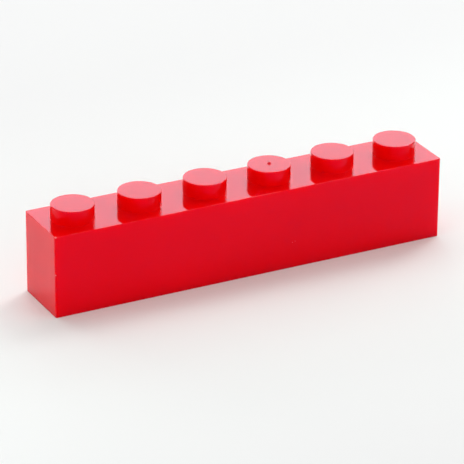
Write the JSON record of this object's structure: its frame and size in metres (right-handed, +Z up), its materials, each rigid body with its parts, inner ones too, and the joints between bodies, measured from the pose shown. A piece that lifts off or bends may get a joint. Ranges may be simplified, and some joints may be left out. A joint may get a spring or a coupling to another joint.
{
  "type": "toy building brick",
  "caption": "Hollow moulded toy building brick, one stud wide, with a row of round studs on its deck and gripping posts inside its open underside.",
  "frame": {"origin": "centre of the brick's footprint, on the plane of the bottom rim", "axes": "+X along the row of studs, +Y across the brick's width, +Z up out of the studs"},
  "size_m": [0.0478, 0.0078, 0.0115],
  "materials": {
    "red_plastic": "solid-coloured, high-gloss moulded surface, faint fine scuffs"
  },
  "bodies": {
    "root": {"brick": "red_plastic"}
  },
  "joints": []
}
